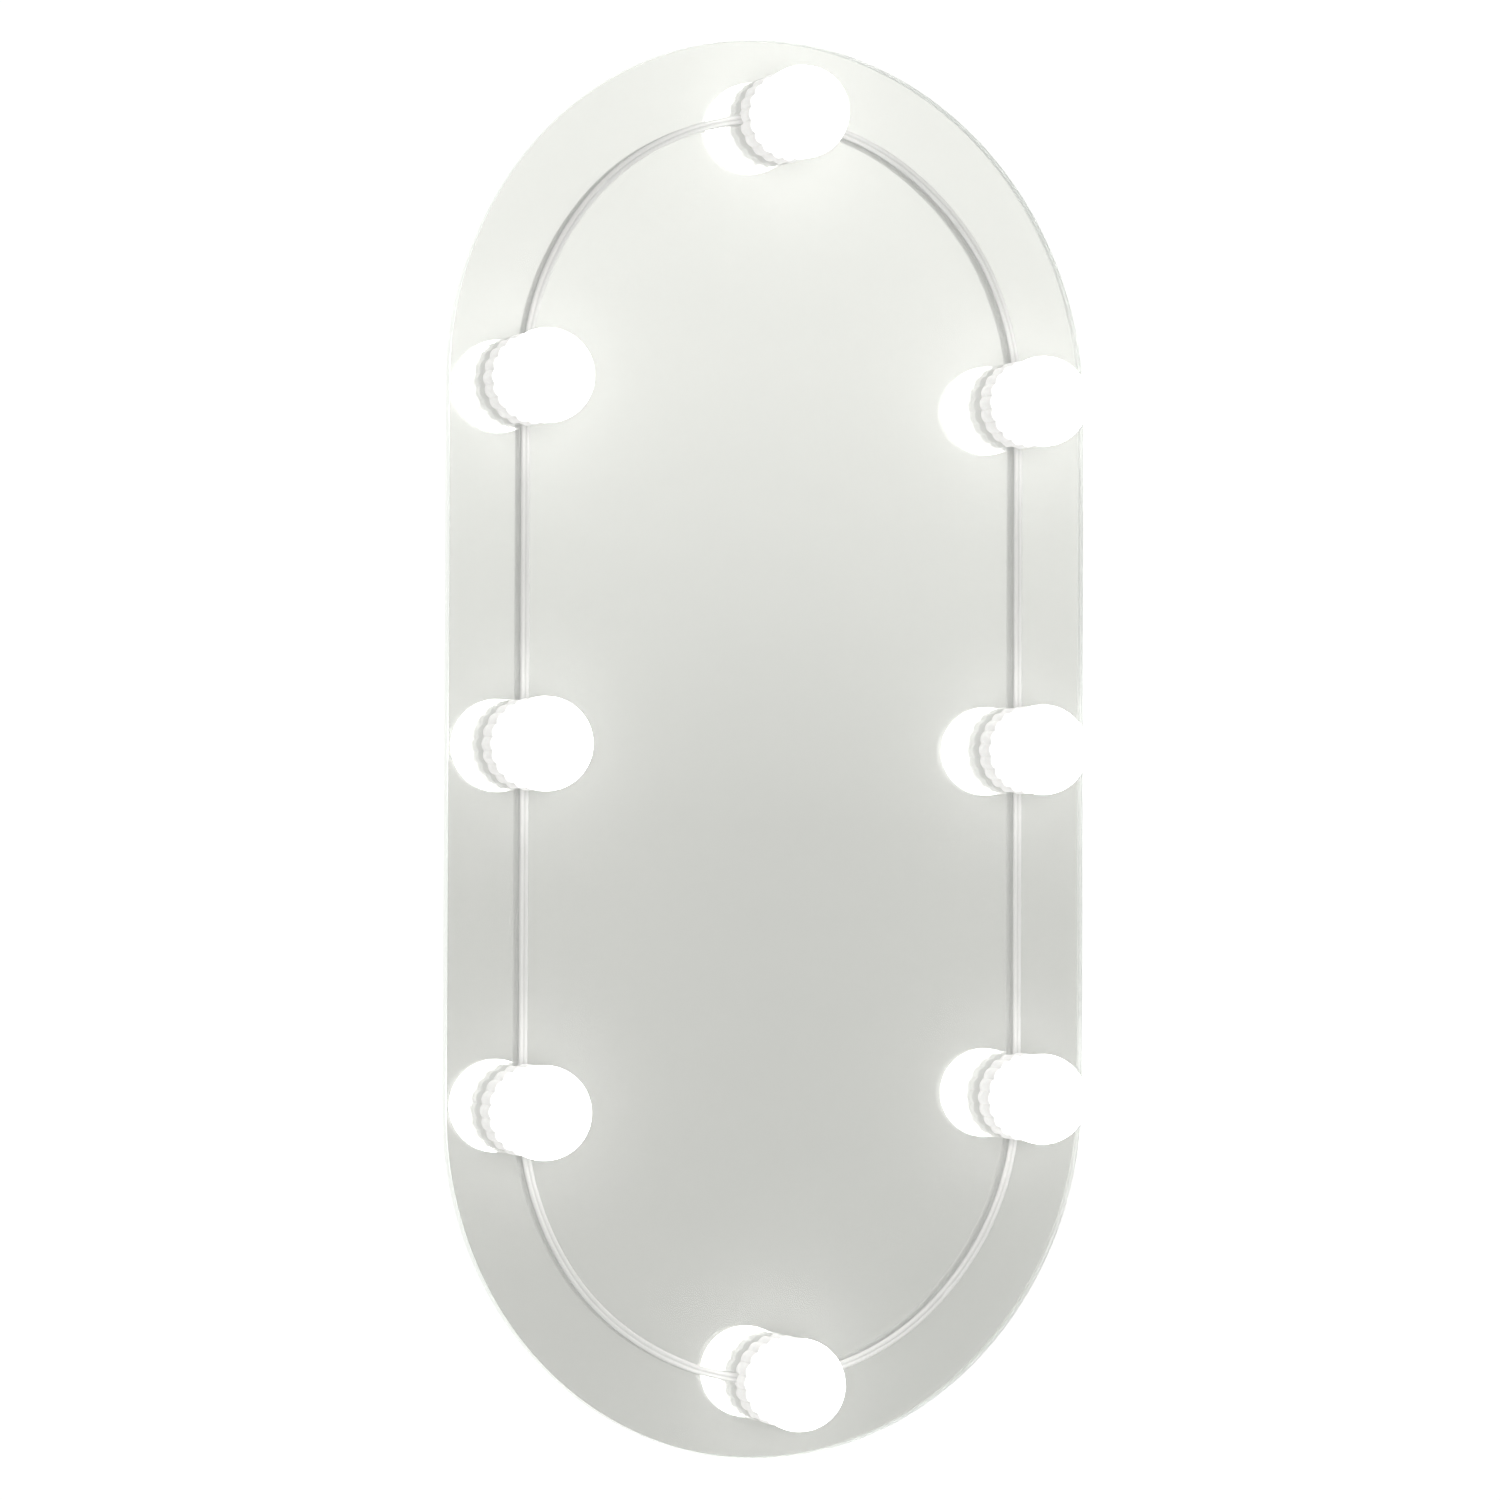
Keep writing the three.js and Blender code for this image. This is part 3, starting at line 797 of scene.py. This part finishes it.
def globe():
    """A hollow globe with a short straight neck."""

    def meridian(radius, neck, steps):
        """From the neck to the pole."""
        widest = math.pi - math.asin(neck / radius)
        points = []
        for i in range(steps):
            angle = widest * (1 - i / steps)
            points.append((radius * math.sin(angle), GLOBE_CENTRE + radius * math.cos(angle)))
        return [*points, (0, GLOBE_CENTRE + radius)]

    outside = meridian(GLOBE_RADIUS, NECK, 40)
    inside = meridian(GLOBE_RADIUS - GLOBE_WALL, NECK - GLOBE_WALL, 28)
    ease = 0.2
    rim = [(NECK - GLOBE_WALL, GLOBE_RIM + ease), (NECK - GLOBE_WALL + ease, GLOBE_RIM)]
    rim += [(NECK - ease, GLOBE_RIM), (NECK, GLOBE_RIM + ease)]
    return turned("globe_blank", inside[::-1] + rim + outside, [OPAL], closed=False, sharp_angle=50)


def led_board():
    """A round board with four LED packages, each a white body with a phosphor face."""
    top = BOARD_FOOT + 1.4
    radius = 18.5
    ease = 0.15
    chips = 4
    chip_ring = 10
    # Each layer's half width, foot, head and look.
    chip_layers = ((2.0, top + 0.01, top + 0.66, 0), (1.5, top + 0.67, CHIP_TOP, 1))
    bm = bmesh.new()
    profile = [(0, BOARD_FOOT), (radius - ease, BOARD_FOOT), (radius, BOARD_FOOT + ease)]
    profile += [(radius, top - ease), (radius - ease, top), (0, top)]
    revolve(bm, profile, 72, closed=False)
    for k in range(chips):
        turn = Matrix.Rotation(2 * math.pi * k / chips, 4, "Z")
        for half, foot, head, look in chip_layers:
            square = ((-half, -half), (half, -half), (half, half), (-half, half))
            rings = []
            for level in (foot, head):
                rings.append([turn @ Vector((chip_ring + x, y, level)) for x, y in square])
            before = len(bm.faces)
            loft(bm, rings)
            bm.faces.ensure_lookup_table()
            for face in bm.faces[before:]:
                face.material_index = look
    return new_object("board_blank", bm, [BOARD_MASK, PHOSPHOR])


def pad():
    """A ring of foam tape whose side is pressed in a little."""
    inner, outer = 5.5, 17.0
    profile = [(inner, PAD_FOOT), (outer - 0.1, PAD_FOOT), (outer, PAD_FOOT + 0.15)]
    profile += [(outer - 0.12, PAD_TOP - 0.3), (outer, PAD_TOP), (inner, PAD_TOP)]
    return turned("pad_blank", profile, [FOAM])


masters = {
    "pad": pad(),
    "board": led_board(),
    "collar": twist_collar(),
    "globe": globe(),
    "base": base_blank(),
}
cut(masters["base"], bayonet_cutter(SLOT["top"], entry_only=False))
cut(masters["base"], bayonet_cutter(SPIGOT_TOP + 1, entry_only=True))
lamp_slots = {
    "pad": "foam_tape",
    "base": "white_plastic",
    "board": "lamp_board",
    "collar": "white_plastic",
    "globe": "opal_plastic",
}
turning = ("collar", "globe")
for n in range(1, LAMPS + 1):
    for part, slot in lamp_slots.items():
        piece = copy_of(masters[part], f"fine_{part}_{n}")
        if part == "base":
            piece.data = piece.data.copy()
            cut(piece, notch_cutter(n))
            shade(piece.data)
        piece.location = stand((*centres[n - 1], GLASS_FRONT))
        install(piece, f"twist_{n}" if part in turning else "root", f"lamp_{n}_{part}")
for master in masters.values():
    bpy.data.objects.remove(master)

# ---- The hanging plates, their tape and the bumpers.

SHEET = 1.2
SCREW_ROUND = {"radius": 5, "y": -9}
SHANK_SLOT = {"radius": 2.6, "y": 3}


def hat_outline(low, high):
    """The bent sheet's section: a flat crown on the wall and two flanges on the tape."""
    flange = (high.x - low.x) / 2
    foot = high.z - low.z
    crown, web = 15, 18
    half = [(crown - SHEET, SHEET, 0.8), (web - SHEET, foot, 2.0), (flange, foot, 0.2)]
    half += [(flange, foot - SHEET, 0.2), (web, foot - SHEET, 0.8), (crown, 0, 2.0)]
    return rounded(half + [(-x, z, r) for x, z, r in reversed(half)], 0.5, 5)


def keyhole_outline():
    """A round for the screw's head with a slot for its shank above, about the hanging plate's middle."""
    meet = math.acos(SHANK_SLOT["radius"] / SCREW_ROUND["radius"])
    head = arc((0, SCREW_ROUND["y"]), SCREW_ROUND["radius"], math.pi - meet, math.pi + 2 * meet, 32)
    shank = arc((0, SHANK_SLOT["y"]), SHANK_SLOT["radius"], 0, math.pi, 16)
    return head + shank


def hanging_plate(side):
    low, high = bench_box(f"hanger_{side}")
    middle = (low + high) / 2
    section = hat_outline(low, high)
    bm = bmesh.new()
    loft(bm, [[(x, y, z) for x, z in section] for y in (low.y - middle.y, high.y - middle.y)])
    made = new_object(f"hanging_plate_{side}", bm, [ZINC])
    bm = bmesh.new()
    loft(bm, [[(x, y, z) for x, y in keyhole_outline()] for z in (-1, 4)])
    cut(made, new_object("cutter", bm))
    soften(made, 0.18)
    made.location = stand((middle.x, middle.y, low.z))
    return made


def tape(side):
    """A block of foam tape with rounded corners and a side that is pressed in a little."""
    low, high = bench_box(f"hanger_tape_{side}")
    middle = (low + high) / 2
    wide, tall = (high.x - low.x) / 2 - 0.4, (high.y - low.y) / 2 - 0.4
    outline = rounded([(wide, tall), (-wide, tall), (-wide, -tall), (wide, -tall)], 2.5, 6)
    levels = ((0.0, low.z - middle.z), (-0.15, low.z - middle.z + 0.3), (0.0, high.z - middle.z))
    bm = bmesh.new()
    loft(bm, [[(x * (1 + grow / wide), y * (1 + grow / tall), z) for x, y in outline] for grow, z in levels])
    made = new_object(f"foam_tape_{side}", bm, [FOAM])
    made.location = stand(middle)
    return made


def bumper(side):
    """A tapered rubber foot, slightly dished where it meets the wall."""
    low, high = bench_box(f"bumper_{side}")
    outer, top = (high.x - low.x) / 2, high.z - low.z
    nose = outer - 2
    profile = [(0, 0.25), (nose - 3, 0.2), (nose - 1.1, 0.05), (nose - 0.5, 0.15)]
    profile += [(nose - 0.1, 0.6), (nose + 0.1, 1.2), (outer - 0.1, top - 0.5)]
    profile += [(outer, top - 0.2), (outer - 0.15, top), (0, top)]
    made = turned(f"rubber_bumper_{side}", profile, [GREY_RUBBER], 64, closed=False)
    made.location = stand(((low.x + high.x) / 2, (low.y + high.y) / 2, low.z))
    return made


for side in ("left", "right"):
    install(hanging_plate(side), "root", f"hanger_{side}")
    install(tape(side), "root", f"hanger_tape_{side}")
    install(bumper(side), "root", f"bumper_{side}")

# ---- The power inlet.

cover_low, cover_high = bench_box("inlet_cover")
socket_low, socket_high = bench_box("dc_socket")
SOCKET_X = (socket_low.x + socket_high.x) / 2
SOCKET_AXIS = 7.3  # above the wall
SOCKET_LENGTH = 11
NOSE = 3.9
BORE = 3.05
COVER_WALL = 1.6
FEED_RADIUS = 1.4


def up_from_edge(profile, looks=(), segments=48):
    """A round solid that points up the wall from the cover's lower edge, on the socket's axis."""
    made = turned("round", profile, looks, segments, closed=False)
    made.data.transform(Matrix.Rotation(math.radians(-90), 4, "X"))
    shift = stand((SOCKET_X, cover_low.y, SOCKET_AXIS))
    made.data.transform(Matrix.Translation(shift))
    return made


def cylinder_profile(radius, foot, top):
    return [(0, foot), (radius, foot), (radius, top), (0, top)]


def inlet_cover():
    """A shallow box open to the plate, with rounded corners and a hole for the socket's nose."""
    wall, corner = COVER_WALL, 5.0
    middle = (cover_low + cover_high) / 2
    wide, tall = (cover_high.x - cover_low.x) / 2, (cover_high.y - cover_low.y) / 2
    back, rim = cover_low.z, cover_high.z

    def ring(inset, height):
        x, y = wide - inset, tall - inset
        points = rounded([(x, y), (-x, y), (-x, -y), (x, -y)], max(corner - inset, 0.8), 8)
        return [(middle.x + px, middle.y + py, height) for px, py in points]

    outer = [(0.15, rim), (0.0, rim - 0.2), (0.0, back + 1.5), (0.2, back + 0.75)]
    outer += [(0.75, back + 0.2), (1.5, back)]
    inner = [(wall + 1.2, back + wall), (wall + 0.2, back + wall + 0.3), (wall, back + wall + 1)]
    inner += [(wall, rim - 0.2), (wall - 0.15, rim)]
    bm = bmesh.new()
    outside = loft(bm, [ring(*level) for level in outer], ends=False)
    inside = loft(bm, [ring(*level) for level in reversed(inner)], ends=False)
    bm.faces.new(outside[-1])
    bm.faces.new(inside[-1])
    for i in range(len(outside[0])):
        j = (i + 1) % len(outside[0])
        bm.faces.new((outside[0][i], outside[0][j], inside[0][j], inside[0][i]))
    shell = new_object("inlet_shell", bm, [COVER_PLASTIC])
    cut(shell, up_from_edge(cylinder_profile(NOSE + 0.3, -1, 2 * wall)))
    shade(shell.data)
    return shell


def dc_socket():
    """A barrel socket: a block inside the cover, a nose through its wall, and a pin in the bore."""
    start = COVER_WALL + 0.3
    half, foot, top = 4.5, 3.5, 11.2
    x0, x1 = SOCKET_X - half, SOCKET_X + half
    y0, y1 = cover_low.y + start, socket_high.y
    corners = ((x0, y0), (x1, y0), (x1, y1), (x0, y1))
    bm = bmesh.new()
    loft(bm, [[(x, y, z) for x, y in corners] for z in (foot, top)])
    block = soften(new_object("barrel_socket", bm, [BLACK_PLASTIC]), 0.3)
    nose = [(0, 0.0), (NOSE - 0.3, 0.0), (NOSE, 0.3), (NOSE, start + 1), (0, start + 1)]
    cut(block, up_from_edge(nose), "UNION")
    cut(block, up_from_edge(cylinder_profile(BORE, -1, 10)))
    pin = [(0, 4.6), (0.6, 4.65), (0.95, 5.0), (1.0, 5.3), (1.0, 11), (0, 11)]
    cut(block, up_from_edge(pin, [PIN_METAL], 32), "UNION")
    shade(block.data)
    return block


def feed_lead():
    """The round lead from the socket's back, over and through the plate to the bottom lamp."""
    hole_x, hole_y = FEED_CENTRE
    start = cover_low.y + COVER_WALL + SOCKET_LENGTH + 0.6
    top = bench_box("feed_lead")[1].z
    points = [(SOCKET_X, start, SOCKET_AXIS), (SOCKET_X, start + 8, SOCKET_AXIS)]
    points += [(SOCKET_X / 2, start + 15, SOCKET_AXIS), (0, start + 9, SOCKET_AXIS)]
    points += [(hole_x, hole_y + 4, SOCKET_AXIS), (hole_x, hole_y, SOCKET_AXIS + 3.5)]
    points += [(hole_x, hole_y, GLASS_BACK), (hole_x, hole_y, top)]
    curve = bpy.data.curves.new("feed", "CURVE")
    curve.dimensions = "3D"
    curve.bevel_depth = FEED_RADIUS * MM
    curve.bevel_resolution = 4
    curve.resolution_u = 10
    curve.use_fill_caps = True
    spline = curve.splines.new("BEZIER")
    spline.bezier_points.add(len(points) - 1)
    for knot, point in zip(spline.bezier_points, points):
        knot.co = stand(point)
        knot.handle_left_type = knot.handle_right_type = "AUTO"
    holder = bpy.data.objects.new("feed_curve", curve)
    bpy.context.scene.collection.objects.link(holder)
    bpy.context.view_layer.update()
    mesh = bpy.data.meshes.new_from_object(holder)
    bpy.data.objects.remove(holder)
    bm = bmesh.new()
    bm.from_mesh(mesh)
    bmesh.ops.remove_doubles(bm, verts=bm.verts, dist=1e-6)
    return new_object("round_feed_lead", bm, [LEAD_SHEATH])


def feed_bush():
    """A rubber bush, with its flange on the back and its sleeve through the plate."""
    low, high = bench_box("feed_grommet")
    flange, front = (high.x - low.x) / 2, high.z - low.z
    seat = 1.0
    sleeve = 4.2
    bore = 1.8
    profile = [(bore, 0.2), (bore + 0.2, 0), (flange - 0.3, 0), (flange, 0.3), (flange, seat)]
    profile += [(sleeve, seat), (sleeve, front - 0.3), (sleeve - 0.3, front), (bore + 0.2, front)]
    profile += [(bore, front - 0.2)]
    made = turned("feed_bush", profile, [BLACK_RUBBER], 48)
    made.location = stand((*FEED_CENTRE, low.z))
    return made


install(inlet_cover(), "root", "inlet_cover")
install(dc_socket(), "root", "dc_socket")
install(feed_lead(), "root", "feed_lead")
install(feed_bush(), "root", "feed_grommet")

# ---- The camera: from the left of the mirror and a touch below its middle.

AZIMUTH = -26.04  # angles in degrees
ELEVATION = -1.0
ROLL = 0.2
DISTANCE = 2.463  # metres
LENS = 105.0  # millimetres
AIM = (-0.0152, -0.0147, -0.0015)  # metres

camera_data = bpy.data.cameras.new("camera")
camera_data.lens = LENS
camera_data.sensor_width = 36
camera = bpy.data.objects.new("camera", camera_data)
bpy.context.scene.collection.objects.link(camera)
bpy.context.scene.camera = camera
azimuth, elevation = math.radians(AZIMUTH), math.radians(ELEVATION)
towards = Vector((math.sin(azimuth) * math.cos(elevation), -math.cos(azimuth) * math.cos(elevation),
                  math.sin(elevation)))
camera.location = Vector(AIM) + towards * DISTANCE
camera.rotation_mode = "QUATERNION"
camera.rotation_quaternion = (-towards).to_track_quat("-Z", "Y") @ Matrix.Rotation(
    math.radians(ROLL), 3, "Z").to_quaternion()

# ---- The studio: a pale backdrop, a soft grey to white sweep that the mirror reflects, and a pale floor.

# The backdrop is lit white round the direction that the camera looks in, and pale grey elsewhere.
BACKDROP_WHITE = 1.05
BACKDROP_GREY = 0.72
LIT_WITHIN = 14.5  # degrees from that direction
GREY_BEYOND = 60.0  # degrees

# The sweep's level by the upward part of a ray's direction, from -1 straight down to 1 straight up.
SWEEP = ((-0.6, 0.45), (-0.09, 0.585), (-0.04, 0.615), (0.0, 0.65), (0.03, 0.73), (0.07, 0.85), (0.10, 0.93),
         (0.15, 1.00), (0.7, 0.80))
SWEEP_BLUE = 0.965  # blue against red and green, for a slightly warm grey

FLOOR_RADIUS = 1.5  # metres
FLOOR_DROP = 0.35  # metres from the mirror's lowest point to the floor


def sweep_light(tree, direction):
    """What surfaces see: grey below the horizon, white a little above it, and less bright overhead."""
    split = tree.nodes.new("ShaderNodeSeparateXYZ")
    tree.links.new(direction, split.inputs["Vector"])
    height = map_range(tree, split.outputs["Z"], (-1, 1), (0, 1))
    stops = [((at + 1) / 2, (level, level, level * SWEEP_BLUE)) for at, level in SWEEP]
    shader = tree.nodes.new("ShaderNodeBackground")
    tree.links.new(colour_ramp(tree, height, stops), shader.inputs["Color"])
    return shader.outputs["Background"]


def backdrop_light(tree, direction, view_direction):
    """What the camera sees behind the mirror."""
    alignment = tree.nodes.new("ShaderNodeVectorMath")
    alignment.operation = "DOT_PRODUCT"
    alignment.inputs[1].default_value = view_direction
    tree.links.new(direction, alignment.inputs[0])
    reach = [math.cos(math.radians(angle)) for angle in (GREY_BEYOND, LIT_WITHIN)]
    levels = (BACKDROP_GREY, BACKDROP_WHITE)
    strength = map_range(tree, alignment.outputs["Value"], reach, levels, "SMOOTHSTEP")
    shader = tree.nodes.new("ShaderNodeBackground")
    shader.inputs["Color"].default_value = (1, 1, 1, 1)
    tree.links.new(strength, shader.inputs["Strength"])
    return shader.outputs["Background"]


def studio_world(view_direction):
    world = bpy.data.worlds.new("studio")
    bpy.context.scene.world = world
    world.use_nodes = True
    tree = world.node_tree
    tree.nodes.clear()
    direction = tree.nodes.new("ShaderNodeTexCoord").outputs["Generated"]
    rays = tree.nodes.new("ShaderNodeLightPath")
    mix = tree.nodes.new("ShaderNodeMixShader")
    out = tree.nodes.new("ShaderNodeOutputWorld")
    tree.links.new(rays.outputs["Is Camera Ray"], mix.inputs["Fac"])
    tree.links.new(sweep_light(tree, direction), mix.inputs[1])
    tree.links.new(backdrop_light(tree, direction, view_direction), mix.inputs[2])
    tree.links.new(mix.outputs["Shader"], out.inputs["Surface"])


def floor():
    """A pale round floor that fades out at its edge, well below the mirror."""
    look = Look("pale_floor", Roughness=0.6)
    tone = look.ramp(look.noise(3, 3.0), (0.3, (0.86, 0.86, 0.85)), (0.7, (0.88, 0.88, 0.87)))
    look.set("Base Color", tone)
    gradient = look.node("ShaderNodeTexGradient", gradient_type="SPHERICAL")
    look.link(look.place, gradient.inputs["Vector"])
    clear = look.node("ShaderNodeBsdfTransparent")
    mix = look.node("ShaderNodeMixShader")
    fade = look.span(gradient.outputs["Fac"], 1.0, 0.0, 0.02, 0.6)
    look.link(fade, mix.inputs["Fac"])
    look.link(look.shader.outputs["BSDF"], mix.inputs[1])
    look.link(clear.outputs["BSDF"], mix.inputs[2])
    look.link(mix.outputs["Shader"], look.tree.nodes["Material Output"].inputs["Surface"])
    bm = bmesh.new()
    bmesh.ops.create_circle(bm, cap_ends=True, segments=128, radius=1.0)
    made = new_object("studio_floor", bm, [look.material])
    made.scale = (FLOOR_RADIUS, FLOOR_RADIUS, 1)
    made.location = (0, 0, cad_box[0].z - FLOOR_DROP)


def soft_light(name, place, size, power):
    """A round light, in metres and watts, that faces the mirror's middle and doesn't show in reflections."""
    data = bpy.data.lights.new(name, "AREA")
    data.shape = "DISK"
    data.size = size
    data.energy = power
    made = bpy.data.objects.new(name, data)
    bpy.context.scene.collection.objects.link(made)
    made.location = place
    made.rotation_euler = (-Vector(place)).to_track_quat("-Z", "Y").to_euler()
    made.visible_glossy = False
    made.visible_camera = False


studio_world(-towards)
floor()
soft_light("key", place=(0.9, -1.6, 2.2), size=1.6, power=6)
soft_light("rear_fill", place=(-0.8, 2.2, 1.4), size=1.6, power=22)

bpy.context.scene.view_settings.view_transform = "Standard"
